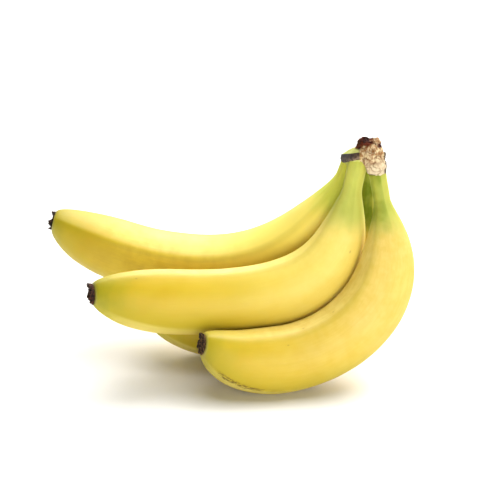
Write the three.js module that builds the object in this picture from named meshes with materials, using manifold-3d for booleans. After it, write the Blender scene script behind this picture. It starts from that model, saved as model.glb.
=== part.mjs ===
// A bunch of four ripe bananas cut from a larger hand. The front and under fingers lie on the surface, the
// middle and back fingers lie above them, and the crown that joins all four stands up at one side.
// Millimetres, +Z up, with the surface at Z = 0. The blossom ends point towards -X.
import * as THREE from "three";
import { mergeVertices } from "three/addons/utils/BufferGeometryUtils.js";
import Module from "manifold-3d";

const wasm = await Module();
wasm.setup();

const CLEARANCE = 0.3; // gap kept between pieces that grow against each other

// The fingers. radius is the girth's radius out to a ridge, neck is the radius of the stalk, and
// neckLength is how far the stalk runs from its root before it widens. roll turns the ridges, in degrees.
// path is a Bezier curve: the root in the crown, four points that the centre line bends towards, and the
// blossom end. endSlant is how far that end leans out on its hollow side, as a slope. knobLength and
// knobRadius size the dried flower left on it.
const FINGERS = [
  {
    name: "back",
    radius: 18.2,
    neck: 6,
    neckLength: 12,
    roll: -11,
    path: [[70.7, 16.7, 116.3], [57, 21.5, 71], [36, 34, 40], [-18, 38, 32], [-67, 39, 53], [-99.2, 39, 72.2]],
    endSlant: 0.3,
    knobLength: 2.2,
    knobRadius: 5,
  },
  {
    name: "middle",
    radius: 18.7,
    neck: 5.8,
    neckLength: 17.5,
    roll: 14,
    path: [[73.6, 2.5, 121.1], [61, 0, 76], [78, -4, 40], [13, -12, 35], [-44, -21, 48], [-71, -30.4, 54.2]],
    endSlant: 0.15,
    knobLength: 3,
    knobRadius: 5.8,
  },
  {
    name: "front",
    radius: 19.2,
    neck: 4.9,
    neckLength: 15.1,
    roll: -5,
    path: [[83, -6, 115], [89, -11.5, 74], [109, -25, 44], [56, -34, 11], [19, -35.5, 8], [-11.4, -44, 30.4]],
    endSlant: 0.4,
    knobLength: 2.1,
    knobRadius: 5.4,
  },
  {
    name: "under",
    radius: 18.3,
    neck: 5,
    neckLength: 24,
    roll: 17,
    path: [[81.8, 15.3, 118.5], [78, 23, 72], [85, 29, 17], [47, 17, 3], [-18, 5, 17], [-44, 10, 30]],
    endSlant: 0.2,
    knobLength: 3,
    knobRadius: 5.2,
  },
];
const SHOULDER_LENGTH = 27; // over which a finger gains about two thirds of its width beyond the neck
const SHOULDER_POWER = 1.4; // 1 would start the shoulder with a corner
const NOSE_LENGTH = 45; // over which a finger narrows to its blossom end
const NOSE_FULLNESS = 0.7; // 0.5 would round the nose off as an ellipse, 1 as a parabola
const BLOSSOM_RADIUS = 5.6; // the end of the peel, under the dried flower
const SLANT_LENGTH = 22; // over which the sections come to lean as the end does
const FINGER_RINGS = 40;
const NOSE_CROWDING = 0.35; // how far the rings crowd towards the blossom end, from 0 to 1

// The ridges round a finger, in degrees from the hollow side of its bend. dip is how far the face after
// each ridge sinks below a circle, as a share of the radius, and steps is its number of facets.
const RIDGES = [
  { at: -37, dip: 0.07, steps: 6 },
  { at: 37, dip: 0.1, steps: 8 },
  { at: 143, dip: 0.02, steps: 3 },
  { at: 180, dip: 0.02, steps: 3 },
  { at: 217, dip: 0.1, steps: 8 },
];

// The dried flowers: lobed knobs with a sunken end.
const KNOB_LOBES = 5;
const KNOB_LOBE_DEPTH = 0.16; // as a share of the radius
const KNOB_HOLLOW = 1.4;
const KNOB_SPOKES = 20;
const KNOB_RINGS = 4;

// The crown has a pad that wraps the roots of the upper three fingers, the rough stub that was torn from the
// stem above the front finger, and the lobes that stand on the pad behind the stub's top.
// The pad's outline is drawn from above, its rim is a dried scar, and its slope is its rise along X and Y.
// Each of its levels is a height in mm from the middle of the rim and how far the outline is drawn in there.
const PAD = {
  centre: [76, 9, 121],
  slope: [0.145, -0.28],
  outline: [
    [64.3, 15.5],
    [66.4, 3],
    [69, -2.4],
    [73.5, -4.4],
    [81, -6],
    [85.5, 2],
    [87.1, 14],
    [84, 20.8],
    [75, 23.4],
    [66.9, 21.7],
  ],
  levels: [[-5, 3.2], [-1.7, 0.3], [0, 0], [1.6, 0.3], [2.9, 1.8], [4.4, 4.5], [5, 8]],
};
const STUB = {
  path: [[83.7, -6, 114.4], [82, -5.5, 120.4], [79.4, -0.5, 126], [78.8, 0, 132.3]],
  bottomRadius: 4.6,
  topRadius: 4.4,
  bulge: 1.7,
  hollow: 2,
};
const LOBES = [
  { centre: [76.5, 2.2, 128.9], radii: [4, 4.4, 4.4] },
  { centre: [73, 2.6, 127], radii: [3.4, 3.6, 2.4] },
];
const CROWN_SPOKES = 36;

const { degToRad, euclideanModulo, lerp } = THREE.MathUtils;

// A Bezier curve of any number of points.
class BezierLine extends THREE.Curve {
  constructor(points) {
    super();
    this.points = points.map((point) => new THREE.Vector3(...point));
  }

  getPoint(t) {
    let row = this.points;
    while (row.length > 1) {
      row = row.slice(1).map((point, i) => row[i].clone().lerp(point, t));
    }
    return row[0];
  }
}

// Sweeps a closed section along a curve. Each spoke of the section has an angle in degrees from the hollow
// side, and radiusAt gives its length in mm at a share of the curve. slantAt gives the slope that the section
// leans out with on its hollow side there, and hollow sinks the middle of the far end.
function sweep({ curve, bendAxis, spokes, rings, crowding = 0, slantAt = () => 0, hollow = 0, radiusAt }) {
  const geometry = new THREE.CylinderGeometry(1, 1, 1, spokes.length, rings);
  const position = geometry.getAttribute("position");
  const unit = new THREE.Vector3();
  for (let i = 0; i < position.count; i++) {
    unit.fromBufferAttribute(position, i);
    const step = unit.y + 0.5;
    const share = lerp(step, Math.sin((step * Math.PI) / 2), crowding);
    const turn = euclideanModulo(Math.atan2(unit.x, unit.z) / (2 * Math.PI), 1);
    const spoke = spokes[Math.round(turn * spokes.length) % spokes.length];
    const onAxis = Math.hypot(unit.x, unit.z) < 0.5;
    const radius = onAxis ? 0 : radiusAt(share, spoke);
    const along = curve.getTangentAt(share);
    const side = bendAxis.clone().addScaledVector(along, -bendAxis.dot(along)).normalize();
    const inward = side.clone().cross(along);
    const angle = degToRad(spoke.angle);
    const point = curve
      .getPointAt(share)
      .addScaledVector(inward, radius * Math.cos(angle))
      .addScaledVector(side, radius * Math.sin(angle))
      .addScaledVector(along, radius * Math.cos(angle) * slantAt(share));
    if (onAxis && step === 1) {
      point.addScaledVector(along, -hollow);
    }
    position.setXYZ(i, point.x, point.y, point.z);
  }
  return geometry;
}

function evenSpokes(count) {
  return Array.from({ length: count }, (_, i) => ({ angle: (360 * i) / count }));
}

// The spokes of a finger's section: full length on a ridge, and a little less between ridges.
const FINGER_SPOKES = RIDGES.flatMap(({ at, dip, steps }, i) => {
  const next = i + 1 < RIDGES.length ? RIDGES[i + 1].at : RIDGES[0].at + 360;
  return Array.from({ length: steps }, (_, k) => {
    const fromRidge = 1 - Math.abs((2 * k) / steps - 1);
    return { angle: lerp(at, next, k / steps), length: 1 - dip * fromRidge * (2 - fromRidge) };
  });
});

// The square direction to the plane that a finger bends in.
function bendAxisOf(curve) {
  const root = curve.getPoint(0);
  const end = curve.getPoint(1);
  const inward = root.clone().add(end).multiplyScalar(0.5).sub(curve.getPointAt(0.5));
  return end.sub(root).cross(inward).normalize();
}

// A finger of peel. grow makes it larger all round, and longer at its root.
function fingerGeometry({ path, neck, neckLength, radius, roll, endSlant }, grow = 0) {
  const curve = new BezierLine(path);
  const heading = curve.getTangent(0).multiplyScalar(grow);
  curve.points[0].sub(heading);
  const length = curve.getLength();
  return sweep({
    curve,
    bendAxis: bendAxisOf(curve),
    spokes: FINGER_SPOKES.map((spoke) => ({ ...spoke, angle: spoke.angle + roll })),
    rings: FINGER_RINGS,
    crowding: NOSE_CROWDING,
    slantAt: (share) => endSlant * Math.max(0, 1 - ((1 - share) * length) / SLANT_LENGTH) ** 2,
    radiusAt: (share, spoke) => {
      const fromRoot = share * length;
      const shoulder = Math.max(0, fromRoot - neckLength) / SHOULDER_LENGTH;
      const body = lerp(radius, neck, Math.exp(-(shoulder ** SHOULDER_POWER)));
      const nose = Math.max(0, 1 - (length - fromRoot) / NOSE_LENGTH);
      const full = lerp(BLOSSOM_RADIUS, body, (1 - nose * nose) ** NOSE_FULLNESS);
      return full * spoke.length + grow;
    },
  });
}

// The dried flower on a finger's end, which carries on the finger's own direction.
function knobGeometry({ path, endSlant, knobLength, knobRadius }) {
  const finger = new BezierLine(path);
  const heading = finger.getTangent(1);
  const start = finger.getPoint(1).addScaledVector(heading, CLEARANCE);
  const end = start.clone().addScaledVector(heading, knobLength);
  return sweep({
    curve: new THREE.LineCurve3(start, end),
    bendAxis: bendAxisOf(finger),
    spokes: evenSpokes(KNOB_SPOKES),
    rings: KNOB_RINGS,
    slantAt: () => endSlant,
    hollow: KNOB_HOLLOW,
    radiusAt: (share, { angle }) => {
      const lobe = 1 + KNOB_LOBE_DEPTH * share * Math.cos(degToRad(KNOB_LOBES * angle));
      return knobRadius * lobe * (1 - 0.22 * share * share);
    },
  });
}

// The stub: swollen in the middle, with ragged fibres down its sides.
function stubGeometry({ path, bottomRadius, topRadius, bulge, hollow }) {
  return sweep({
    curve: new BezierLine(path),
    bendAxis: new THREE.Vector3(0, 1, 0),
    spokes: evenSpokes(CROWN_SPOKES),
    rings: 12,
    hollow,
    radiusAt: (share, { angle }) => {
      const a = degToRad(angle);
      const fibres = 0.3 * Math.sin(9 * a + 2 * share) + 0.25 * Math.sin(4 * a + 17 * share);
      const swell = bulge * Math.sin(Math.PI * share);
      return lerp(bottomRadius, topRadius, share) + swell + fibres * Math.min(1, 4 * share);
    },
  });
}

// The pad: its outline on each of its levels, which slope with it.
function padGeometry({ centre, slope, outline, levels }) {
  const edge = new THREE.CatmullRomCurve3(outline.map(([x, y]) => new THREE.Vector3(x, y, 0)), true);
  const geometry = new THREE.CylinderGeometry(1, 1, 1, CROWN_SPOKES, levels.length - 1);
  const position = geometry.getAttribute("position");
  const middle = new THREE.Vector3(centre[0], centre[1], 0);
  const unit = new THREE.Vector3();
  for (let i = 0; i < position.count; i++) {
    unit.fromBufferAttribute(position, i);
    const [height, inset] = levels[Math.round((unit.y + 0.5) * (levels.length - 1))];
    const turn = euclideanModulo(Math.atan2(unit.x, unit.z) / (2 * Math.PI), 1);
    const reach = edge.getPointAt(Math.round(turn * CROWN_SPOKES) / CROWN_SPOKES).sub(middle);
    reach.setLength(Math.hypot(unit.x, unit.z) < 0.5 ? 0 : reach.length() - inset);
    const rise = slope[0] * reach.x + slope[1] * reach.y;
    position.setXYZ(i, centre[0] + reach.x, centre[1] + reach.y, centre[2] + rise + height);
  }
  return geometry;
}

function lobeGeometry({ centre, radii }) {
  return new THREE.SphereGeometry(1, 20, 12).scale(...radii).translate(...centre);
}

function solidOf(geometry) {
  geometry.deleteAttribute("normal");
  geometry.deleteAttribute("uv");
  const merged = mergeVertices(geometry, 1e-3);
  return new wasm.Manifold(
    new wasm.Mesh({
      numProp: 3,
      vertProperties: merged.getAttribute("position").array,
      triVerts: new Uint32Array(merged.index.array),
    }),
  );
}

function geometryOf(solid) {
  const mesh = solid.getMesh();
  const geometry = new THREE.BufferGeometry();
  geometry.setAttribute("position", new THREE.BufferAttribute(mesh.vertProperties, 3));
  geometry.setIndex(new THREE.BufferAttribute(mesh.triVerts, 1));
  geometry.computeVertexNormals();
  return geometry;
}

// A block that fills the space below the surface, to cut the fingers that lie on it flat.
function belowSurface() {
  return solidOf(new THREE.BoxGeometry(400, 400, 20).translate(0, 0, -10));
}

const peel = new THREE.MeshStandardMaterial({ color: 0xf0d040, roughness: 0.45 });
const wood = new THREE.MeshStandardMaterial({ color: 0xc9a878, roughness: 0.9 });
const dried = new THREE.MeshStandardMaterial({ color: 0x3b2a20, roughness: 0.9 });

const bunch = new THREE.Group();

function addPiece(name, solid, material) {
  const mesh = new THREE.Mesh(geometryOf(solid), material);
  mesh.name = name;
  bunch.add(mesh);
}

let crown = solidOf(padGeometry(PAD)).add(solidOf(stubGeometry(STUB)));
for (const lobe of LOBES) {
  crown = crown.add(solidOf(lobeGeometry(lobe)));
}
for (const finger of FINGERS) {
  addPiece(`banana_${finger.name}`, solidOf(fingerGeometry(finger)).subtract(belowSurface()), peel);
  addPiece(`blossom_end_${finger.name}`, solidOf(knobGeometry(finger)), dried);
  crown = crown.subtract(solidOf(fingerGeometry(finger, CLEARANCE)));
}
addPiece("crown", crown, wood);

export default bunch;
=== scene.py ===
"""A bunch of four bananas: fingers with their peel, the dried flowers, and the crown with its torn stub.

Lengths are in millimetres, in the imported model's frame, until a mesh is made. The fingers and the crown
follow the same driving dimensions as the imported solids, with finer meshes, softer ridges and skin relief.
"""

import math

import bpy
import numpy as np
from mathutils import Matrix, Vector, noise


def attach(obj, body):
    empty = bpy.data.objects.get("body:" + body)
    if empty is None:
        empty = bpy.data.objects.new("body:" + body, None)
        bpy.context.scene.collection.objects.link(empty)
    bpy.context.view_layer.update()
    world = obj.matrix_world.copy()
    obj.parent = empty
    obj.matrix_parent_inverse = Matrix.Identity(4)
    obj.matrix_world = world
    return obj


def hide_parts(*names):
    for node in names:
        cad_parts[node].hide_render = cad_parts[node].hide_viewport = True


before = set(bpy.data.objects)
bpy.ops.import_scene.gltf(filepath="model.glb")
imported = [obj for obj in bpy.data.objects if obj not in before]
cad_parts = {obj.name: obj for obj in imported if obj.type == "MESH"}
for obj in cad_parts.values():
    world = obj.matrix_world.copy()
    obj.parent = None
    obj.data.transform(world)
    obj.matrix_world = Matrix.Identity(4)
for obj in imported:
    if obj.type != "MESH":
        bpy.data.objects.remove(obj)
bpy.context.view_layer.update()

MM = 0.001

# The four fingers. An angle round a finger is in degrees from the hollow side of its bend: 90 faces the back
# of the bunch, 180 the outside of the bend, and 270 the camera. Colours are 0 to 255, in sRGB.
#
# shape
#   radius        from the middle line out to a ridge where the finger is fullest
#   neck          radius of the stalk, which runs for neck_length from the root before it widens
#   roll          how far the ridges are turned
#   end_slant     how far the blossom end leans out on its hollow side, as a slope
#   pressed       where the flesh swells by rise against the finger under it: at and length say where that is
#                 along the finger, angle and width where it is round it
#   path          a Bezier curve from the root in the crown to the blossom end
# flower, the dried remnant at the blossom end
#   radius        of its collar
#   collar        the collar's height
#   lobes         each lobe's angle, its height over the collar, and its width in degrees
#   brown         its lighter colour
# peel
#   ripe          colour that the peel turns to, starting ripe_from from the blossom end, over ripe_over
#   young         colour of the green neck, which ends about green from the root
#   deep          how dark the painted shade on that green is, on the half turn from shade_from, turned
#                 from the light and towards the other fingers; the other half has the share shade_rest of it
#   tip_green     how green the blossom end is
#   tip_highlight how strong the painted highlight on the upper face is at the blossom end
#   neck_painted_light how much the yellow is painted paler towards the neck, as painted light on its shade
#   scuffed       whether the low ridge is rubbed brown
# seed            picks the finger's own noise
FINGERS = {
    "back": dict(
        shape=dict(
            radius=18.2,
            neck=6,
            neck_length=12,
            roll=-11,
            end_slant=0.3,
            path=[
                (70.7, 16.7, 116.3),
                (57, 21.5, 71),
                (36, 34, 40),
                (-18, 38, 32),
                (-67, 39, 53),
                (-99.2, 39, 72.2),
            ],
        ),
        flower=dict(
            radius=5.2,
            collar=0.3,
            lobes=[(-8, 1.5, 24), (-80, 2.0, 20), (-150, 1.5, 20), (105, 1.4, 26)],
            brown=(66, 44, 34),
        ),
        peel=dict(
            # The back finger's yellow and green are lighter than the others', partly as painted light that
            # lifts the shade it lies in.
            ripe=(255, 226, 70),
            ripe_from=15,
            ripe_over=50,
            young=(218, 222, 86),
            green=31,
            deep=0.55,
            shade_from=70,
            shade_rest=0.2,
            tip_green=0.45,
            tip_highlight=0.25,
            neck_painted_light=0.9,
            scuffed=False,
        ),
        seed=3,
    ),
    "middle": dict(
        shape=dict(
            radius=18.7,
            neck=5.8,
            neck_length=17.5,
            roll=14,
            end_slant=0.15,
            pressed=dict(at=84, length=20, angle=208, width=20, rise=1.75),
            path=[
                (73.6, 2.5, 121.1),
                (61, 0, 76),
                (78, -4, 40),
                (13, -12, 35),
                (-44, -21, 48),
                (-71, -30.4, 54.2),
            ],
        ),
        flower=dict(
            radius=5.7,
            collar=0.9,
            lobes=[(-16, 1.9, 24), (-80, 2.2, 24), (-132, 0.8, 18), (45, 1.4, 26), (120, 0.8, 26)],
            brown=(86, 48, 34),
        ),
        peel=dict(
            ripe=(232, 212, 132),
            ripe_from=60,
            ripe_over=125,
            young=(195, 197, 90),
            green=35,
            deep=0.3,
            shade_from=250,
            shade_rest=0.3,
            tip_green=0.7,
            tip_highlight=0.75,
            neck_painted_light=0.45,
            scuffed=False,
        ),
        seed=11,
    ),
    "front": dict(
        shape=dict(
            radius=19.2,
            neck=4.9,
            neck_length=15.1,
            roll=-5,
            end_slant=0.4,
            path=[
                (83, -6, 115),
                (89, -11.5, 74),
                (109, -25, 44),
                (56, -34, 11),
                (19, -35.5, 8),
                (-11.4, -44, 30.4),
            ],
        ),
        flower=dict(
            radius=5.3,
            collar=0.5,
            lobes=[(-20, 0.5, 24), (40, 1.1, 26), (110, 0.9, 24), (170, 0.7, 22)],
            brown=(122, 92, 58),
        ),
        peel=dict(
            ripe=(228, 200, 108),
            ripe_from=5,
            ripe_over=125,
            young=(199, 199, 92),
            green=28,
            deep=0.9,
            shade_from=268,
            shade_rest=0.5,
            tip_green=0.4,
            tip_highlight=0.6,
            neck_painted_light=0,
            scuffed=True,
        ),
        seed=23,
    ),
    "under": dict(
        shape=dict(
            radius=18.3,
            neck=5,
            neck_length=24,
            roll=17,
            end_slant=0.2,
            path=[
                (81.8, 15.3, 118.5),
                (78, 23, 72),
                (85, 29, 17),
                (47, 17, 3),
                (-18, 5, 17),
                (-44, 10, 30),
            ],
        ),
        flower=dict(
            radius=5.2,
            collar=0.8,
            lobes=[(0, 1.6, 26), (-75, 1.8, 24), (80, 1.4, 26), (180, 1.2, 30)],
            brown=(74, 46, 32),
        ),
        peel=dict(
            ripe=(226, 204, 104),
            ripe_from=5,
            ripe_over=125,
            young=(195, 197, 90),
            green=40,
            deep=1.2,
            shade_from=235,
            shade_rest=0.3,
            tip_green=0.8,
            tip_highlight=0.6,
            neck_painted_light=0,
            scuffed=False,
        ),
        seed=37,
    ),
}

# The form that the fingers share.
FINGER_RINGS = 170
FINGER_SPOKES = 120
SHOULDER_LENGTH = 27
SHOULDER_POWER = 1.4
NOSE_LENGTH = 45
NOSE_FULLNESS = 0.7
NOSE_CROWDING = 0.35  # how much closer the rings lie towards the blossom end
BLOSSOM_RADIUS = 5.6
SLANT_LENGTH = 22
END_DENT = 0.8  # how deep the middle of the blossom end lies
CLEARANCE = 0.3  # between the blossom end and the dried flower

# The ridges round a finger and the faces between them, in degrees. Each ridge comes with how far the face
# after it dips below a circle, as a share of the radius.
RIDGES = [(-37, 0.07), (37, 0.1), (143, 0.02), (180, 0.02), (217, 0.1)]
SHARP_RIDGES = (-37, 37, 217)
RIDGE_ROUNDING = 2.6
UPPER_FACE_END = (28, 37)  # the upper face fades out between these, either side of the hollow
# The lower face is painted paler, as bounce light from the floor.
LOW_FACE_START = (148, 156)  # the paler lower face fades in between these
LOW_FACE_END = (-4, 2)  # and out between these, counted from the low ridge
LOW_RIDGE = 217
LOW_RIDGE_SPREAD = 9  # how much further round the lower face reaches at the blossom end
# The back is painted darker, as painted shade against the backdrop's light.
BACK_FACE = (0.3, 0.75)  # the back fades in between these, which are sines of the angle
# The painted shade on the green neck fades in over this edge.
SHADE_EDGE = 0.15  # the darker green fades in up to this sine either side of its edge

# The peel's relief: how wide each kind of unevenness is, and how far it stands out.
SWELLING_SIZE = 34
SWELLING_RISE = 0.3
DENT_SIZE = 11
DENT_RISE = 0.1
SKIN_DROP = 0.25  # the skin is drawn in by this, so that swellings don't make the finger thicker
STALK_RIBS = [(9, 0, 1), (14, 50, 0.6)]  # each how many go round, their turn in degrees, and their share
RIB_RISE = 0.09
RIB_LENGTH = 34

# The form that the dried flowers share.
FLOWER_SPOKES = 96
FLOWER_RINGS = 30
FLOWER_FLARE = 0.05  # how much wider the lip is for each mm over the collar, as a share of the radius
LIP_DRAWN_IN = 0.06  # how far the lip curls inwards, as a share of the radius
LIP_CRIMP = 0.25
FLOWER_FOOT_RINGS = 5  # the first rings are smoother, where the flower grows on the finger
HOLLOW_FLOOR = 0.35  # how high the hollow's floor lies, as a share of the collar's height
HOLLOW_FOLDS = 0.3
HOLLOW_MOUND = 0.5  # how far the middle of the hollow's floor rises
HOLLOW_CORE = 0.2  # radius of the innermost ring

# The crown. A level of the pad is a height, and how far its edge is drawn in from the outline there.
PAD = dict(
    centre=(76, 9, 121),
    slope=(0.145, -0.28),
    outline=[
        (64.3, 15.5),
        (66.4, 3),
        (69, -2.4),
        (73.5, -4.4),
        (81, -6),
        (85.5, 2),
        (87.1, 14),
        (84, 20.8),
        (75, 23.4),
        (66.9, 21.7),
    ],
    levels=[(-5, 3.2), (-1.7, 0.3), (0, 0), (1.6, 0.3), (2.9, 1.8), (4.4, 4.5), (5, 8)],
)
STUB = dict(
    path=[(83.7, -6, 114.4), (82, -5.5, 120.4), (79.4, -0.5, 126), (78.8, 0, 132.3)],
    bottom_radius=4.6,
    top_radius=4.4,
    bulge=1.7,
    hollow=2,
)
STUB_BEND_AXIS = np.array([0.0, 1.0, 0.0])  # the stub leans over across this
LOBES = [  # the torn wood behind the stub's top, each a centre and three radii
    ((76.5, 2.2, 128.9), (4, 4.4, 4.4)),
    ((74.3, 2.6, 127.5), (3.1, 3.6, 2.4)),
]
CHIP = ((82.2, -0.5, 132.2), (3.0, 4.0, 2.2))  # paler wood left standing on the torn top
NOTCH = ((83.4, -3.0, 129.6), (2.6, 2.2, 1.3))  # a dark, torn patch under it
FLAKES = [  # dead scales on the stub's outer side
    ((87.1, -3.6, 124.6), (0.7, 1.5, 2.3)),
    ((87.5, -6.0, 120.3), (0.7, 1.5, 2.0)),
    ((87.2, -7.6, 116.8), (0.7, 1.5, 1.8)),
]
CROWN_VOXEL = 0.36
STUB_SKIN_BULGE = 1.9  # wood reaches this much further than the stub's bottom radius, half way up it
RIM_BOTTOM = (-2.4, -1.9)  # the dried rim fades in between these heights over the pad's sloping middle
RIM_TOP = (1.7, 2.2)  # and out between these
RIM_DROP = 0.9  # how much lower the rim starts on the pad's west end
WEST_END = (66, 71.5)  # the pad's west end fades out between these, along X
PAD_DROP = 0.7  # how far the pad's top falls away at its west end
PAD_DROP_END = (67, 73)  # that fall fades out between these, along X
CREASE_WIDTH = 0.16  # the torn layers' noise is nearer to 0 than this in a crease


# --- numbers -------------------------------------------------------------------------------------------


def smoothstep(low, high, x):
    """0 up to low, 1 from high on, and a smooth rise between them."""
    t = np.clip((x - low) / (high - low), 0, 1)
    return t * t * (3 - 2 * t)


def bezier(points, t):
    """The points at t, from 0 to 1, on the Bezier curve that the given points steer."""
    row = [np.asarray(p, float)[None, :] + 0 * t[:, None] for p in points]
    while len(row) > 1:
        row = [a + (b - a) * t[:, None] for a, b in zip(row, row[1:])]
    return row[0]


def smooth_loop(corners, count):
    """Points on a closed Catmull-Rom curve through the corners."""
    corners = np.array(corners, float)
    loop = []
    for k in range(count):
        t = k / count * len(corners)
        i, u = int(t), t - int(t)
        p0, p1, p2, p3 = (corners[(i + step) % len(corners)] for step in (-1, 0, 1, 2))
        bend = 2 * p0 - 5 * p1 + 4 * p2 - p3
        twist = 3 * p1 - p0 - 3 * p2 + p3
        loop.append(0.5 * (2 * p1 + (p2 - p0) * u + bend * u**2 + twist * u**3))
    return np.array(loop)


class Line:
    """A Bezier curve measured along its length, with the frame that sections are drawn in."""

    def __init__(self, points, bend_axis=None):
        t = np.linspace(0, 1, 2001)
        self.points = bezier(points, t)
        steps = np.linalg.norm(np.diff(self.points, axis=0), axis=1)
        self.lengths = np.concatenate([[0], np.cumsum(steps)])
        self.length = self.lengths[-1]
        if bend_axis is None:
            start, end = self.points[0], self.points[-1]
            inward = (start + end) / 2 - self.at(np.array([0.5]))[0]
            bend_axis = np.cross(end - start, inward)
        self.bend_axis = bend_axis / np.linalg.norm(bend_axis)

    def at(self, share):
        """The points at shares of the length."""
        where = share * self.length
        return np.stack([np.interp(where, self.lengths, self.points[:, k]) for k in range(3)], axis=1)

    def frames(self, share):
        """The points at shares of the length, with the directions along, inward and sideways there."""
        step = 0.002
        along = self.at(np.minimum(share + step, 1)) - self.at(np.maximum(share - step, 0))
        along /= np.linalg.norm(along, axis=1)[:, None]
        side = self.bend_axis - along * (along @ self.bend_axis)[:, None]
        side /= np.linalg.norm(side, axis=1)[:, None]
        return self.at(share), along, np.cross(side, along), side


def noise_at(points, size, seed, octaves=1):
    """Smooth noise from about -1 to 1 with features of a size in mm, at each of the points.

    Each seed reads the noise at a place of its own.
    """
    shift = Vector((seed * 17.3, seed * 5.1, seed * 11.7))
    if octaves == 1:
        return np.array([noise.noise(Vector(p) / size + shift) for p in points])
    return np.array([noise.fractal(Vector(p) / size + shift, 0.6, 2.0, octaves) for p in points])


def inside(points, lump, soft, growth=1.0):
    """1 inside a lump made growth times as large, and 0 outside it, fading over a share of its radii."""
    centre, radii = lump
    reach = np.linalg.norm((points - np.array(centre)) / (np.array(radii) * growth), axis=1)
    return 1 - smoothstep(1 - soft, 1 + soft, reach)


# --- meshes --------------------------------------------------------------------------------------------


def place(name, data):
    """Puts a new object with its mesh, lamp or camera into the scene."""
    obj = bpy.data.objects.new(name, data)
    bpy.context.scene.collection.objects.link(obj)
    return obj


def add_object(name, vertices, faces):
    """A smooth mesh object. Its vertices are given in mm."""
    mesh = bpy.data.meshes.new(name)
    mesh.from_pydata((np.asarray(vertices) * MM).tolist(), [], faces)
    mesh.validate()
    mesh.shade_smooth()
    return place(name, mesh)


def tube_faces(rings, spokes):
    """Quads for rings of points, and the fans that close the ends from two more points after them."""
    faces = []
    for r in range(rings - 1):
        for s in range(spokes):
            n = (s + 1) % spokes
            faces.append((r * spokes + s, r * spokes + n, (r + 1) * spokes + n, (r + 1) * spokes + s))
    first, last = rings * spokes, rings * spokes + 1
    top = (rings - 1) * spokes
    for s in range(spokes):
        n = (s + 1) % spokes
        faces.append((first, n, s))
        faces.append((last, top + s, top + n))
    return faces


def set_attribute(obj, name, values):
    """Stores a value or a vector for each vertex, for the materials to read."""
    values = np.asarray(values, float)
    kind, key = ("FLOAT", "value") if values.ndim == 1 else ("FLOAT_VECTOR", "vector")
    layer = obj.data.attributes.new(name, kind, "POINT")
    layer.data.foreach_set(key, values.ravel())


def spoke_angles(count):
    """Angles in degrees, evenly round a section."""
    return np.arange(count) * 360.0 / count


def outward(inward, side, angles):
    """Directions at angles, in radians, from each inward direction round towards its side."""
    ahead = inward[:, None, :] * np.cos(angles)[None, :, None]
    across = side[:, None, :] * np.sin(angles)[None, :, None]
    return ahead + across


def section_length(angles):
    """How far a finger's section reaches at angles from its hollow side, as a share of the radius."""
    length = np.ones_like(angles)
    for k, (at, dip) in enumerate(RIDGES):
        following = RIDGES[k + 1][0] if k + 1 < len(RIDGES) else RIDGES[0][0] + 360
        half = (following - at) / 2
        turn = (angles - at) % 360
        on_face = turn < following - at
        from_ridge = half - np.abs(turn - half)
        rounded = np.hypot(from_ridge, RIDGE_ROUNDING) - RIDGE_ROUNDING
        t = rounded / half
        length = np.where(on_face, 1 - dip * t * (2 - t), length)
    return length


def ridge_distance(angles, ridges):
    """Degrees from each angle to the nearest of the ridges."""
    gaps = [np.abs((angles - at + 180) % 360 - 180) for at in ridges]
    return np.min(gaps, axis=0)


def finger_girth(from_root, nose, radius, neck, neck_length):
    """The radius along a finger: its stalk, shoulder, full flanks, and the nose down to the blossom end."""
    shoulder = np.maximum(0, from_root - neck_length) / SHOULDER_LENGTH
    body = radius + (neck - radius) * np.exp(-(shoulder**SHOULDER_POWER))
    return BLOSSOM_RADIUS + (body - BLOSSOM_RADIUS) * (1 - nose * nose) ** NOSE_FULLNESS


def peel_relief(points, from_root, nose, angles, seed):
    """Uneven growth: slow swellings, shallow dents and the stalk's fine lengthwise ribs."""
    rings_and_spokes = points.shape[:2]
    flat = points.reshape(-1, 3)
    swelling = noise_at(flat, SWELLING_SIZE, seed).reshape(rings_and_spokes)
    dents = noise_at(flat, DENT_SIZE, seed + 1).reshape(rings_and_spokes)
    off_nose = (1 - nose**3)[:, None]
    on_stalk = np.exp(-((from_root / RIB_LENGTH) ** 2))[:, None]
    ribs = sum(share * np.cos(np.radians(angles * count + turn)) for count, turn, share in STALK_RIBS)
    uneven = off_nose * (SWELLING_RISE * swelling + DENT_RISE * dents - SKIN_DROP)
    return uneven + RIB_RISE * on_stalk * ribs


def pressed_flesh(from_root, angles, at, length, angle, width, rise):
    """How far the flesh swells out where it presses on the finger under it."""
    around = np.exp(-(((angles - angle) / width) ** 2))
    down = np.exp(-(((from_root - at) / length) ** 2))
    return rise * down[:, None] * around[None, :]


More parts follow.
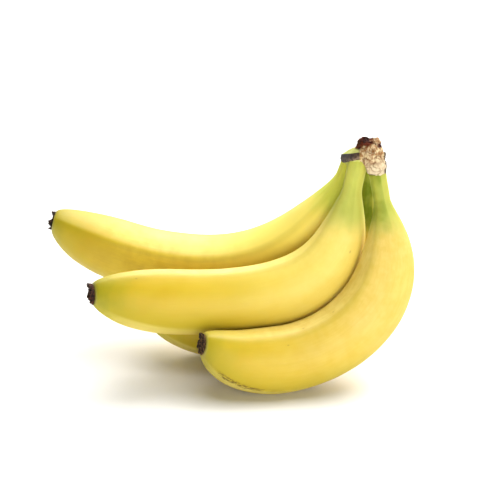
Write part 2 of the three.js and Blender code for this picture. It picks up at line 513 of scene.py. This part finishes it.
def measure_skin(obj, reach, from_root, from_tip, angles, shade_from):
    """Stores where each point of a finger lies, for its material.

    Distances are in mm along the skin, and what a point faces is a share from 0 to 1. Each measure comes with
    its values at the two points that close the root and the blossom end, which count as far from every ridge.
    """
    length = from_root[-1]
    radians = np.radians(angles)
    low_edge = LOW_RIDGE + LOW_RIDGE_SPREAD * np.exp(-((from_tip / NOSE_LENGTH) ** 2))
    past_edge = angles[None, :] - low_edge[:, None]
    lower_face = smoothstep(*LOW_FACE_START, angles)[None, :] * (1 - smoothstep(*LOW_FACE_END, past_edge))
    measures = {
        "from_root": (from_root[:, None], 0, length),
        "from_tip": (from_tip[:, None], length, 0),
        "from_ridge": (np.radians(ridge_distance(angles, SHARP_RIDGES)) * reach, 20, 20),
        "from_low_ridge": (np.radians(np.abs(past_edge)) * reach, 40, 40),
        "faces_down": (lower_face, 0, 0),
        "faces_back": (smoothstep(*BACK_FACE, np.sin(radians)), 0, 0),
        "faces_up": (1 - smoothstep(*UPPER_FACE_END, ridge_distance(angles, [0])), 0, 0),
        # The half of the neck that gets painted shade.
        "shade_half": (smoothstep(-SHADE_EDGE, SHADE_EDGE, np.sin(np.radians(angles - shade_from))), 1, 1),
    }

    def per_vertex(grid, first, last):
        return np.concatenate([np.broadcast_to(grid, reach.shape).ravel(), [first, last]])

    for name, values in measures.items():
        set_attribute(obj, name, per_vertex(*values))
    ahead = per_vertex(reach * np.cos(radians), 0, 0)
    across = per_vertex(reach * np.sin(radians), 0, 0)
    down = per_vertex(*measures["from_root"])
    set_attribute(obj, "skin", np.stack([ahead, across, down], axis=1))


def finger_mesh(name, shade_from, seed, path, radius, neck, neck_length, roll, end_slant, pressed=None):
    """A finger of peel, and its middle line."""
    line = Line(path)
    step = np.linspace(0, 1, FINGER_RINGS)
    share = step + (np.sin(step * math.pi / 2) - step) * NOSE_CROWDING
    centre, along, inward, side = line.frames(share)
    from_root = share * line.length
    from_tip = line.length - from_root
    nose = np.maximum(0, 1 - from_tip / NOSE_LENGTH)

    angles = spoke_angles(FINGER_SPOKES)
    turned = np.radians(angles + roll)
    out = outward(inward, side, turned)
    slant = end_slant * np.maximum(0, 1 - from_tip / SLANT_LENGTH) ** 2
    lean = along[:, None, :] * (slant[:, None] * np.cos(turned)[None, :])[:, :, None]
    girth = finger_girth(from_root, nose, radius, neck, neck_length)
    reach = girth[:, None] * section_length(angles)[None, :]
    even_skin = centre[:, None, :] + out * reach[:, :, None]
    reach = reach + peel_relief(even_skin, from_root, nose, angles, seed)
    if pressed:
        reach = reach + pressed_flesh(from_root, angles, **pressed)

    skin = centre[:, None, :] + (out + lean) * reach[:, :, None]
    ends = np.array([centre[0], centre[-1] - along[-1] * END_DENT])
    vertices = np.concatenate([skin.reshape(-1, 3), ends])
    vertices[:, 2] = np.maximum(vertices[:, 2], 0)  # flat where it rests
    obj = add_object(name, vertices, tube_faces(FINGER_RINGS, FINGER_SPOKES))
    measure_skin(obj, reach, from_root, from_tip, angles, shade_from)
    return obj, line


def flower_lip(degrees, collar, lobes):
    """How high the dried flower's lip stands all round: its collar, the lobes and a fine crimp."""
    lip = np.full(len(degrees), float(collar))
    for at, rise, width in lobes:
        turn = (degrees - at + 180) % 360 - 180
        lip += rise * np.exp(-((turn / width) ** 4))
    angles = np.radians(degrees)
    lip += LIP_CRIMP * np.sin(angles * 13 + 2 * np.sin(angles * 5))
    return lip


def flower_mesh(name, line, end_slant, seed, radius, collar, lobes):
    """The dried flower at a finger's end: a shrivelled collar with lobes, and a rough hollow inside."""
    end, along, inward, side = line.frames(np.array([1.0]))
    degrees = spoke_angles(FLOWER_SPOKES)
    angles = np.radians(degrees)
    start = end + along * CLEARANCE
    out = outward(inward, side, angles)[0] + along * (end_slant * np.cos(angles))[:, None]
    lip = flower_lip(degrees, collar, lobes)
    flare = 1 + FLOWER_FLARE * (lip - collar)
    hollow_floor = HOLLOW_FLOOR * collar
    rows = []
    for k in range(FLOWER_RINGS):
        t = 2 * k / (FLOWER_RINGS - 1)
        if t < 1:  # up the outside of the collar
            height = lip * t
            reach = radius * (1 + (flare - 1) * t - LIP_DRAWN_IN * t**3)
        else:  # over its lip and down into the hollow
            u = t - 1
            folds = HOLLOW_FOLDS * np.sin(angles * 9) * math.sin(math.pi * u)
            height = lip + (hollow_floor - lip) * smoothstep(0.02, 0.45, u)
            height = height + HOLLOW_MOUND * smoothstep(0.75, 1, u) + folds
            reach = radius * (flare - LIP_DRAWN_IN) * (1 - u) ** 0.9 + HOLLOW_CORE
        rows.append(start + along * height[:, None] + out * reach[:, None])
    points = np.array(rows).reshape(-1, 3)

    away = points - (start + along * collar * 0.3)
    away /= np.linalg.norm(away, axis=1)[:, None]
    rough = noise_at(points, size=1.9, seed=seed) * 0.34 + noise_at(points, size=0.7, seed=seed + 2) * 0.14
    off_foot = np.repeat(np.minimum(1, np.arange(FLOWER_RINGS) / FLOWER_FOOT_RINGS), FLOWER_SPOKES)
    points = points + away * (rough * off_foot)[:, None]
    ends = np.concatenate([start, start + along * (hollow_floor + HOLLOW_MOUND)])
    return add_object(name, np.concatenate([points, ends]), tube_faces(FLOWER_RINGS, FLOWER_SPOKES))


def pad_mesh(centre, slope, outline, levels, spokes=120):
    """The crown's pad: its outline on each level, rounded over at the top and the bottom."""
    middle = np.array(centre[:2])
    reach = smooth_loop(outline, spokes) - middle
    size = np.linalg.norm(reach, axis=1)
    rows = []
    for height, inset in levels:
        spread = reach * ((size - inset) / size)[:, None]
        rise = spread @ np.array(slope)
        rows.append(np.column_stack([spread + middle, centre[2] + rise + height]))
    points = np.array(rows).reshape(-1, 3)
    ends = [(*middle, centre[2] + level[0]) for level in (levels[0], levels[-1])]
    return np.concatenate([points, ends]), tube_faces(len(levels), spokes)


def stub_mesh(path, bottom_radius, top_radius, bulge, hollow, spokes=120, rings=70):
    """The stub of the stem: a bulging, fibrous stump with a hollow in its top."""
    line = Line(path, STUB_BEND_AXIS)
    share = np.linspace(0, 1, rings)
    centre, along, inward, side = line.frames(share)
    angles = np.radians(spoke_angles(spokes))
    s = share[:, None]
    fibres = 0.3 * np.sin(9 * angles + 2 * s) + 0.25 * np.sin(4 * angles + 17 * s)
    reach = bottom_radius + (top_radius - bottom_radius) * s + bulge * np.sin(math.pi * s)
    reach = reach + fibres * np.minimum(1, 4 * s)
    points = (centre[:, None, :] + outward(inward, side, angles) * reach[:, :, None]).reshape(-1, 3)
    ends = np.array([centre[0], centre[-1] - along[-1] * hollow])
    return np.concatenate([points, ends]), tube_faces(rings, spokes)


def lump_mesh(centre, radii, spokes=40, rings=24):
    """A rounded lump with three radii."""
    turn = np.radians(spoke_angles(spokes))
    pole = 0.06  # radians from a pole to the nearest ring
    tilt = np.linspace(pole, math.pi - pole, rings)[::-1, None]
    x = np.sin(tilt) * np.cos(turn)
    y = np.sin(tilt) * np.sin(turn)
    z = np.broadcast_to(np.cos(tilt), x.shape)
    ball = np.stack([x, y, z], axis=2).reshape(-1, 3)
    ball = np.concatenate([ball, [(0, 0, -1), (0, 0, 1)]])
    return np.array(centre) + ball * np.array(radii), tube_faces(rings, spokes)


def grown_together(name, parts):
    """One skin round all the parts, each of them closed and given by its points and faces."""
    vertices, faces = [], []
    for points, polygons in parts:
        start = sum(len(v) for v in vertices)
        vertices.append(points)
        faces += [tuple(start + i for i in polygon) for polygon in polygons]
    rough = add_object(name + "_parts", np.concatenate(vertices), faces)
    remesh = rough.modifiers.new("one_skin", "REMESH")
    remesh.mode = "VOXEL"
    remesh.voxel_size = CROWN_VOXEL * MM
    remesh.use_smooth_shade = True
    smooth = rough.modifiers.new("soften", "SMOOTH")
    smooth.factor = 0.5
    smooth.iterations = 3
    shown = rough.evaluated_get(bpy.context.evaluated_depsgraph_get())
    mesh = bpy.data.meshes.new_from_object(shown)
    bpy.data.objects.remove(rough)
    mesh.name = name
    return place(name, mesh)


def read_vertices(mesh, key):
    """The places ("co") or normals ("normal") of a mesh's vertices, a row for each."""
    values = np.empty(len(mesh.vertices) * 3)
    mesh.vertices.foreach_get(key, values)
    return values.reshape(-1, 3)


def crown_zones(points, grain):
    """What each point of the crown is part of, as shares from 0 to 1, with two measures of where it lies.

    height is over the pad's sloping middle, in mm. stub_share is how far up the stub the point is.
    """
    from_middle = points[:, :2] - np.array(PAD["centre"][:2])
    height = points[:, 2] - PAD["centre"][2] - from_middle @ np.array(PAD["slope"])
    axis = Line(STUB["path"], STUB_BEND_AXIS)
    every = 40  # one in so many of the curve's points is near enough
    axis_points, axis_lengths = axis.points[::every], axis.lengths[::every]
    near = np.argmin(np.linalg.norm(points[:, None, :] - axis_points[None, :, :], axis=2), axis=1)
    stub_share = axis_lengths[near] / axis.length
    from_axis = np.linalg.norm(points - axis_points[near], axis=1)
    bulge = STUB_SKIN_BULGE * np.sin(math.pi * stub_share)
    stub = 1 - smoothstep(0.5, 1.3, from_axis - STUB["bottom_radius"] - bulge)

    lobe = np.max([inside(points, lump, soft=0.12, growth=1.1) for lump in LOBES], axis=0)
    dead = np.max([inside(points, lump, soft=0.2, growth=1.25) for lump in FLAKES], axis=0)
    torn = np.maximum(lobe, stub * smoothstep(0.82, 0.9, stub_share + 0.06 * grain))
    torn = torn * (1 - inside(points, CHIP, soft=0.15))
    torn = np.maximum(torn, inside(points, NOTCH, soft=0.25))
    woody = np.max([stub, lobe, dead], axis=0)

    west = 1 - smoothstep(*WEST_END, points[:, 0])
    rim_bottom, rim_full = RIM_BOTTOM
    rim = smoothstep(rim_bottom - RIM_DROP * west, rim_full - RIM_DROP * west, height)
    top = smoothstep(*RIM_TOP, height)
    return dict(
        height=height,
        stub_share=stub_share,
        stub=stub,
        torn=torn,
        dead=dead,
        woody=woody,
        west=west,
        rim=rim * (1 - top) * (1 - woody),
        top=top * (1 - woody),
    )


def crown_mesh(name):
    """The pad, the stub and the lumps grown into one skin, then torn and wrinkled."""
    lumps = [lump_mesh(*lump) for lump in LOBES + FLAKES]
    obj = grown_together(name, [pad_mesh(**PAD), stub_mesh(**STUB), *lumps])
    points = read_vertices(obj.data, "co") / MM
    normals = read_vertices(obj.data, "normal")
    grain = noise_at(points, size=2.4, seed=5, octaves=3)
    zones = crown_zones(points, grain)

    # The stub is torn across in curling layers, with creases between them.
    layers = noise_at(points * np.array([1, 1, 1.8]), size=4.2, seed=9)
    crease = np.maximum(0, 1 - np.abs(layers) / CREASE_WIDTH)
    shreds = noise_at(points * np.array([1, 1, 0.4]), size=0.9, seed=13)
    crumbs = noise_at(points, size=0.8, seed=17)
    scar = noise_at(points, size=1.7, seed=21, octaves=2)
    waves = noise_at(points, size=3.5, seed=25)

    # How far the skin moves out, in mm.
    move = zones["woody"] * (0.6 * layers - 0.5 * crease + 0.2 * shreds + 0.12 * crumbs)
    move += zones["torn"] * (0.6 * grain - 0.25 * crease)
    move += inside(points, CHIP, soft=0.4) * 0.5
    move += zones["rim"] * (0.15 + 0.2 * scar + 0.08 * crumbs)
    move += zones["top"] * 0.1 * waves
    moved = points + normals * move[:, None]

    # The pad's top falls away towards its west end.
    high = smoothstep(1.4, 4.5, zones["height"]) * (1 - zones["woody"])
    moved[:, 2] -= PAD_DROP * high * (1 - smoothstep(*PAD_DROP_END, moved[:, 0]))
    obj.data.vertices.foreach_set("co", (moved * MM).ravel())
    obj.data.update()
    for zone in ("height", "stub_share", "stub", "torn", "dead", "west", "rim"):
        set_attribute(obj, zone, zones[zone])
    set_attribute(obj, "crease", crease)
    return obj


# --- materials -----------------------------------------------------------------------------------------


def srgb(red, green, blue):
    """A colour given as 0 to 255 in sRGB, as the linear values that a shader takes."""
    scaled = [c / 255 for c in (red, green, blue)]
    return [c / 12.92 if c <= 0.04045 else ((c + 0.055) / 1.055) ** 2.4 for c in scaled] + [1.0]


# The peel.
GOLD = srgb(193, 163, 6)
# Painted highlight on the upper face.
UPPER_HIGHLIGHT = srgb(238, 216, 126)
CLOUD_BROAD = srgb(226, 196, 70)
CLOUD_SMALL = srgb(203, 167, 30)
STREAK = srgb(192, 162, 34)
# Painted light that lifts the shade on the yellow near the neck.
NECK_PAINTED_LIGHT = srgb(255, 234, 112)
LOW_RIDGE_GREEN = srgb(158, 146, 14)
# Painted shade on the back of the bunch.
BACK_PAINTED_SHADE = srgb(192, 154, 66)
# Painted bounce light from the floor, on the lower face.
FLOOR_BOUNCE_LIGHT = srgb(232, 216, 130)
# Painted shade on the green neck.
NECK_SHADE_GREEN = srgb(118, 136, 28)
TIP_GREEN = srgb(166, 156, 30)
TIP_DEEP_GREEN = srgb(136, 136, 20)
TIP_EDGE = srgb(176, 170, 110)
RIDGE = srgb(178, 162, 50)
FLECK = srgb(120, 82, 34)
RUBBED = srgb(92, 64, 22)

# How far the edges of its green parts fade and wander, in mm.
NECK_FADE = 9
NECK_WANDER = 16
TIP_WANDER = 14

# The dried flowers.
FLOWER_BLACK = srgb(20, 11, 9)
FLOWER_DUST = srgb(130, 98, 62)

# The crown. Two colours to a name are the dark and the light of a mottled surface.
PAD_GREENS = srgb(172, 176, 88), srgb(194, 196, 110)
PAD_DRIED = srgb(176, 150, 98)
SCAR_BROWNS = srgb(44, 34, 28), srgb(90, 72, 58)
PALE_SCAR = srgb(66, 52, 46), srgb(142, 120, 100)
SCAR_WEST = srgb(62, 66, 78)
WOOD = srgb(158, 114, 70), srgb(226, 205, 160)
WOOD_FOOT = srgb(228, 213, 180)
WOOD_STAIN = srgb(124, 74, 36)
# Painted shade in the stub's creases.
CREASE_SHADE = srgb(116, 72, 32)
TORN = srgb(44, 13, 6), srgb(92, 38, 18)
TORN_FIBRE = srgb(158, 118, 82)
SCALE_GREYS = srgb(40, 34, 30), srgb(104, 92, 80)

# The floor.
FLOOR_WHITES = srgb(242, 241, 237), srgb(245, 244, 240)


class Nodes:
    """A material's node tree, built a node at a time."""

    def __init__(self, name):
        self.material = bpy.data.materials.new(name)
        self.material.use_nodes = True
        self.tree = self.material.node_tree
        self.shader = self.tree.nodes["Principled BSDF"]

    def node(self, kind, **settings):
        """A new node of a kind, with its settings."""
        made = self.tree.nodes.new(kind)
        for key, value in settings.items():
            setattr(made, key, value)
        return made

    def plug(self, socket, value):
        """Sets a socket to a value, or links it to another node's output."""
        if isinstance(value, bpy.types.NodeSocket):
            self.tree.links.new(value, socket)
        else:
            socket.default_value = value

    def position(self):
        """Where a point of the object is, in metres."""
        return self.node("ShaderNodeTexCoord").outputs["Object"]

    def attribute(self, name, output="Fac"):
        made = self.node("ShaderNodeAttribute", attribute_name=name, attribute_type="GEOMETRY")
        return made.outputs[output]

    def math(self, operation, a, b):
        made = self.node("ShaderNodeMath", operation=operation)
        self.plug(made.inputs[0], a)
        self.plug(made.inputs[1], b)
        return made.outputs[0]

    def times(self, a, b):
        return self.math("MULTIPLY", a, b)

    def plus(self, a, b):
        return self.math("ADD", a, b)

    def minus(self, a, b):
        return self.math("SUBTRACT", a, b)

    def range(self, value, low, high, to_low=0.0, to_high=1.0):
        """to_low where value is up to low, to_high where it is from high on, and smoothly between."""
        made = self.node("ShaderNodeMapRange", interpolation_type="SMOOTHSTEP")
        for socket, given in zip(made.inputs, (value, low, high, to_low, to_high)):
            self.plug(socket, given)
        return made.outputs[0]

    def scaled(self, vector, factors):
        made = self.node("ShaderNodeVectorMath", operation="MULTIPLY")
        self.plug(made.inputs[0], vector)
        made.inputs[1].default_value = factors
        return made.outputs[0]

    def noise(self, vector, scale, detail=2.0, roughness=0.5):
        made = self.node("ShaderNodeTexNoise")
        self.plug(made.inputs["Vector"], vector)
        made.inputs["Scale"].default_value = scale
        made.inputs["Detail"].default_value = detail
        made.inputs["Roughness"].default_value = roughness
        return made.outputs["Fac"]

    def spots(self, vector, scale, share):
        """The distance to the nearest of scattered spots, and 1 if it is among a share of them, else 0."""
        cells = self.node("ShaderNodeTexVoronoi")
        self.plug(cells.inputs["Vector"], vector)
        cells.inputs["Scale"].default_value = scale
        levels = self.node("ShaderNodeSeparateColor")
        self.plug(levels.inputs[0], cells.outputs["Color"])
        return cells.outputs["Distance"], self.range(levels.outputs[0], 1 - share, 1 - share + 0.02)

    def mix(self, share, first, second):
        made = self.node("ShaderNodeMix", data_type="RGBA")
        self.plug(made.inputs["Factor"], share)
        self.plug(made.inputs[6], first)
        self.plug(made.inputs[7], second)
        return made.outputs[2]

    def bump(self, height, strength, distance):
        """Small relief: height from 0 to 1 stands for a distance in mm."""
        made = self.node("ShaderNodeBump")
        self.plug(made.inputs["Height"], height)
        made.inputs["Strength"].default_value = strength
        made.inputs["Distance"].default_value = distance * MM
        self.plug(self.shader.inputs["Normal"], made.outputs[0])

    def surface(self, colour, roughness, specular):
        """Sets the shader's main values, and returns the material."""
        self.plug(self.shader.inputs["Base Color"], colour)
        self.plug(self.shader.inputs["Roughness"], roughness)
        self.shader.inputs["Specular IOR Level"].default_value = specular
        return self.material


def peel_material(name, peel):
    """A finger's skin. It reads the measures that measure_skin stores, and the finger's own colours."""
    n = Nodes(name)
    skin = n.attribute("skin", "Vector")
    from_root, from_tip = n.attribute("from_root"), n.attribute("from_tip")
    broad = n.noise(skin, scale=0.035, detail=2)
    cloudy = n.noise(skin, scale=0.16, detail=3)
    streaks = n.noise(n.scaled(skin, (1, 1, 0.07)), scale=0.9, detail=3)

    # Ripe yellow, deeper towards the blossom end, with a painted highlight on the upper face, painted light
    # towards the neck, and clouded.
    start = peel["ripe_from"]
    riper = n.range(from_tip, start, start + peel["ripe_over"])
    colour = n.mix(riper, GOLD, srgb(*peel["ripe"]))
    # Painted highlight: the upper face is mixed towards a pale cream.
    pale = n.times(n.attribute("faces_up"), n.range(from_tip, 10, 90, peel["tip_highlight"], 0.85))
    colour = n.mix(pale, colour, UPPER_HIGHLIGHT)
    colour = n.mix(n.range(broad, 0.35, 0.65, 0, 0.3), colour, CLOUD_BROAD)
    colour = n.mix(n.range(cloudy, 0.3, 0.75, 0, 0.35), colour, CLOUD_SMALL)
    colour = n.mix(n.range(streaks, 0.35, 0.7, 0, 0.16), colour, STREAK)
    # Painted light: the yellow is mixed paler towards the neck, lifting the shade there.
    colour = n.mix(n.range(from_root, 55, 165, peel["neck_painted_light"], 0), colour, NECK_PAINTED_LIGHT)

    # Greener and duller along the low ridge, towards the blossom end.
    from_low_ridge = n.attribute("from_low_ridge")
    dull = n.times(n.range(from_low_ridge, 0, 15, 0.5, 0), n.range(from_tip, 60, 130, 1, 0))
    colour = n.mix(dull, colour, LOW_RIDGE_GREEN)

    # Painted shade on the back of the bunch, which tones down the backdrop's light there.
    colour = n.mix(n.times(n.attribute("faces_back"), 0.8), colour, BACK_PAINTED_SHADE)

    # Painted bounce light from the bright floor: the lower face is painted paler.
    faces_down = n.attribute("faces_down")
    floor_bounce = n.times(faces_down, n.range(from_tip, 30, 80, 0.5, 0))
    colour = n.mix(floor_bounce, colour, FLOOR_BOUNCE_LIGHT)

    # Green under the crown, along a wandering edge.
    wander = n.times(n.minus(n.noise(n.scaled(skin, (1, 1, 0.4)), scale=0.09), 0.5), NECK_WANDER)
    fading, gone = peel["green"] - NECK_FADE, peel["green"] + NECK_FADE
    neck = n.range(n.plus(from_root, wander), fading, gone, 1, 0)
    lighter = [level + 6 for level in peel["young"]]
    young = n.mix(streaks, srgb(*peel["young"]), srgb(*lighter))
    colour = n.mix(n.times(neck, 0.95), colour, young)
    # Painted shade on the neck: mottled, on the half turned from the light and towards the other fingers.
    deep = n.range(n.noise(skin, scale=0.11), 0.3, 0.7, peel["deep"] * 0.6, peel["deep"])
    deep = n.times(deep, n.range(n.attribute("shade_half"), 0, 1, peel["shade_rest"], 1))
    colour = n.mix(n.times(deep, neck), colour, NECK_SHADE_GREEN)

    # Green at the blossom end, deeper close to it, and dry at its very edge.
    wandering_tip = n.plus(from_tip, n.times(n.minus(cloudy, 0.5), TIP_WANDER))
    colour = n.mix(n.range(wandering_tip, 3, 28, peel["tip_green"], 0), colour, TIP_GREEN)
    colour = n.mix(n.range(wandering_tip, 0, 11, peel["tip_green"] * 0.7, 0), colour, TIP_DEEP_GREEN)
    colour = n.mix(n.range(from_tip, 0.3, 1.2, 0.3, 0), colour, TIP_EDGE)

    # The ridges stay a little greener and duller.
    colour = n.mix(n.range(n.attribute("from_ridge"), 0.6, 3.4, 0.22, 0), colour, RIDGE)

    # Ripening flecks, lengthwise, few and small.
    from_spot, chosen = n.spots(n.scaled(skin, (1, 1, 0.55)), scale=0.17, share=0.2)
    fleck = n.times(n.range(from_spot, 0.05, 0.11, 1, 0), chosen)
    colour = n.mix(n.times(fleck, 0.3), colour, FLECK)

    # Rubbed brown dashes on the low ridge, near the blossom end.
    if peel["scuffed"]:
        dashes = n.noise(n.scaled(skin, (1, 1, 0.22)), scale=1.1, detail=4, roughness=0.7)
        where = n.times(n.range(from_tip, 8, 15, 0.15, 1), n.range(from_tip, 22, 48, 1, 0))
        where = n.times(where, n.range(from_low_ridge, 0.6, 2.4, 1, 0))
        rubbed = n.times(where, n.range(dashes, 0.43, 0.56))
        colour = n.mix(n.times(rubbed, 0.9), colour, RUBBED)

    # Waxy where it is ripe, and matt on the neck and the lower face.
    pores = n.noise(n.scaled(skin, (1, 1, 0.6)), scale=2.2, detail=3)
    matt = n.times(n.math("MAXIMUM", neck, faces_down), 0.4)
    relief = n.plus(n.times(streaks, 0.5), n.times(pores, 0.3))
    n.bump(n.minus(relief, n.times(fleck, 0.2)), strength=0.35, distance=0.25)
    n.shader.inputs["Subsurface Weight"].default_value = 0.12
    n.shader.inputs["Subsurface Radius"].default_value = (0.004, 0.0025, 0.0006)
    n.shader.inputs["Subsurface Scale"].default_value = 1.0
    return n.surface(colour, n.plus(n.range(pores, 0.3, 0.7, 0.4, 0.54), matt), specular=0.3)


def flower_material(name, brown):
    """Dried petals, from black in the folds to brown, with pale dust."""
    n = Nodes(name)
    position = n.position()
    coarse = n.noise(position, scale=700, detail=4, roughness=0.65)
    fine = n.noise(position, scale=2600, detail=3)
    colour = n.mix(n.range(coarse, 0.42, 0.66), FLOWER_BLACK, srgb(*brown))
    colour = n.mix(n.range(fine, 0.58, 0.72, 0, 0.6), colour, FLOWER_DUST)
    n.bump(n.plus(coarse, n.times(fine, 0.4)), strength=0.7, distance=0.5)
    return n.surface(colour, n.range(fine, 0.3, 0.7, 0.72, 0.95), specular=0.2)


def crown_material(name):
    """The crown. It reads the zones that crown_mesh stores."""
    n = Nodes(name)
    position = n.position()
    height, stub_share = n.attribute("height"), n.attribute("stub_share")
    fibres = n.noise(n.scaled(position, (1, 1, 0.16)), scale=1500, detail=4, roughness=0.6)
    blotch = n.noise(position, scale=330, detail=3)
    mottle = n.noise(n.scaled(position, (1, 1, 0.6)), scale=800, detail=3, roughness=0.6)
    fine = n.noise(position, scale=2400, detail=3)

    # Green flesh of the pad under everything else, dried along its highest edge.
    colour = n.mix(n.range(blotch, 0.35, 0.65), *PAD_GREENS)
    colour = n.mix(n.range(height, 4.2, 4.9, 0, 0.7), colour, PAD_DRIED)

    # The dried scar round the rim, paler low down and greyer at the west end.
    scar = n.mix(n.range(fibres, 0.35, 0.65), *SCAR_BROWNS)
    pale_scar = n.mix(n.range(mottle, 0.4, 0.62), *PALE_SCAR)
    scar = n.mix(n.range(height, -1.9, 1.1, 0.9, 0), scar, pale_scar)
    scar = n.mix(n.times(n.attribute("west"), 0.5), scar, SCAR_WEST)
    ragged = n.plus(n.attribute("rim"), n.times(n.minus(fine, 0.5), 0.5))
    colour = n.mix(n.range(ragged, 0.25, 0.6), colour, scar)

    # The stub: cream below, tan above, with brown stains, and painted shade in its creases.
    wood = n.mix(n.range(mottle, 0.38, 0.62), *WOOD)
    wood = n.mix(n.range(stub_share, 0.1, 0.5, 0.7, 0), wood, WOOD_FOOT)
    stained = n.times(n.range(blotch, 0.44, 0.64), n.range(stub_share, 0.3, 0.85, 0.2, 1))
    wood = n.mix(stained, wood, WOOD_STAIN)
    # Painted shade: the creases between the torn layers are darkened.
    wood = n.mix(n.times(n.range(n.attribute("crease"), 0.3, 0.9), 0.6), wood, CREASE_SHADE)
    colour = n.mix(n.attribute("stub"), colour, wood)

    # The torn top, dark and reddish, and the dead scales.
    torn = n.mix(n.range(blotch, 0.4, 0.6), *TORN)
    torn = n.mix(n.range(fine, 0.6, 0.75, 0, 0.4), torn, TORN_FIBRE)
    colour = n.mix(n.attribute("torn"), colour, torn)
    scale = n.mix(n.range(fine, 0.4, 0.65), *SCALE_GREYS)
    colour = n.mix(n.times(n.attribute("dead"), 0.9), colour, scale)

    n.bump(n.plus(fibres, n.times(fine, 0.4)), strength=0.4, distance=0.3)
    return n.surface(colour, n.range(fine, 0.3, 0.7, 0.7, 0.95), specular=0.15)


def floor_material(name):
    """Pale, matt paper."""
    n = Nodes(name)
    grain = n.noise(n.position(), scale=40, detail=2)
    return n.surface(n.mix(grain, *FLOOR_WHITES), n.range(grain, 0, 1, 0.85, 0.95), specular=0.1)


# --- the bunch -----------------------------------------------------------------------------------------


def settle(obj, node, material):
    """Gives a piece its material, and puts it in the place of its CAD node."""
    obj.data.materials.append(material)
    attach(obj, "root")
    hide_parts(node)


for finger_name, finger in FINGERS.items():
    shape, flower, peel, seed = finger["shape"], finger["flower"], finger["peel"], finger["seed"]
    skin_piece, middle_line = finger_mesh(f"finger_{finger_name}", peel["shade_from"], seed, **shape)
    settle(skin_piece, f"banana_{finger_name}", peel_material(f"peel_{finger_name}", peel))
    flower_piece = flower_mesh(
        f"flower_{finger_name}",
        middle_line,
        shape["end_slant"],
        seed,
        flower["radius"],
        flower["collar"],
        flower["lobes"],
    )
    dried = flower_material(f"flower_{finger_name}", flower["brown"])
    settle(flower_piece, f"blossom_end_{finger_name}", dried)
settle(crown_mesh("crown_skin"), "crown", crown_material("crown"))


# --- floor, camera and light ---------------------------------------------------------------------------

FLOOR_REACH = 4000

CAMERA_TARGET = (14, -8, 71.5)
CAMERA_DISTANCE = 900
CAMERA_ELEVATION = 20
MM_PER_PIXEL = 0.55  # at the target
FRAME_PIXELS = 500
SENSOR = 36
FAR_CLIP = 20  # metres

PANEL_AT = (0.14, -0.56, 0.08)  # metres
PANEL_SIZE = 0.4
PANEL_WATTS = 2.7

BACKDROP_TOWARD = (0.42, 0.88, 0.2)
BACKDROP_EDGE = (0.3, 0.8)  # the glow grows between these cosines of the angle from the backdrop's middle
BACKDROP_GLOW = 1.3
ROOM_GLOW = 0.05


def add_camera(name):
    """The photograph's view: it looks along +Y, down onto the bunch."""
    tilt = math.radians(CAMERA_ELEVATION)
    data = bpy.data.cameras.new(name)
    data.sensor_width = SENSOR
    data.lens = SENSOR * CAMERA_DISTANCE / MM_PER_PIXEL / FRAME_PIXELS
    data.clip_end = FAR_CLIP
    camera = place(name, data)
    back = Vector((0, -math.cos(tilt), math.sin(tilt)))
    camera.location = Vector(CAMERA_TARGET) * MM + back * CAMERA_DISTANCE * MM
    camera.rotation_euler = (math.pi / 2 - tilt, 0, 0)
    bpy.context.scene.camera = camera


def shine_from(light, toward):
    """Turns a light that stands in the direction toward, seen from the bunch, to shine on the bunch."""
    light.rotation_euler = toward.to_track_quat("Z", "Y").to_euler()


def soft_sun(name, toward, strength, width):
    """A far softbox in the direction toward, so wide that it looks width degrees across."""
    data = bpy.data.lights.new(name, "SUN")
    data.energy = strength
    data.angle = math.radians(width)
    shine_from(place(name, data), Vector(toward))


def soft_panel(name):
    """A softbox low in front, which fills the shadows on the camera's side."""
    data = bpy.data.lights.new(name, "AREA")
    data.energy = PANEL_WATTS
    data.size = PANEL_SIZE
    panel = place(name, data)
    panel.location = Vector(PANEL_AT)
    shine_from(panel, Vector(PANEL_AT) - Vector(CAMERA_TARGET) * MM)


def glowing_backdrop(name):
    """A white backdrop that glows behind the table, and a dim room in front of it."""
    world = bpy.data.worlds.new(name)
    world.use_nodes = True
    nodes, links = world.node_tree.nodes, world.node_tree.links
    direction = nodes.new("ShaderNodeTexCoord").outputs["Generated"]
    facing = nodes.new("ShaderNodeVectorMath")
    facing.operation = "DOT_PRODUCT"
    facing.inputs[1].default_value = Vector(BACKDROP_TOWARD).normalized()
    glow = nodes.new("ShaderNodeMapRange")
    glow.interpolation_type = "SMOOTHSTEP"
    for socket, given in zip(glow.inputs[1:5], (*BACKDROP_EDGE, ROOM_GLOW, BACKDROP_GLOW)):
        socket.default_value = given
    links.new(direction, facing.inputs[0])
    links.new(facing.outputs["Value"], glow.inputs[0])
    links.new(glow.outputs[0], nodes["Background"].inputs["Strength"])
    nodes["Background"].inputs["Color"].default_value = (1, 1, 1, 1)
    bpy.context.scene.world = world


floor = add_object(
    "floor",
    [(x, y, 0) for y in (-FLOOR_REACH, FLOOR_REACH) for x in (-FLOOR_REACH, FLOOR_REACH)],
    [(0, 1, 3, 2)],
)
floor.data.materials.append(floor_material("pale_floor"))

add_camera("camera")
soft_sun("softbox_above", (0.2, 0.22, 1), strength=3.2, width=66)
soft_sun("softbox_behind", (0.5, 0.8, 1), strength=2.5, width=54)
soft_panel("softbox_right")
glowing_backdrop("studio")
bpy.context.scene.view_settings.view_transform = "Standard"
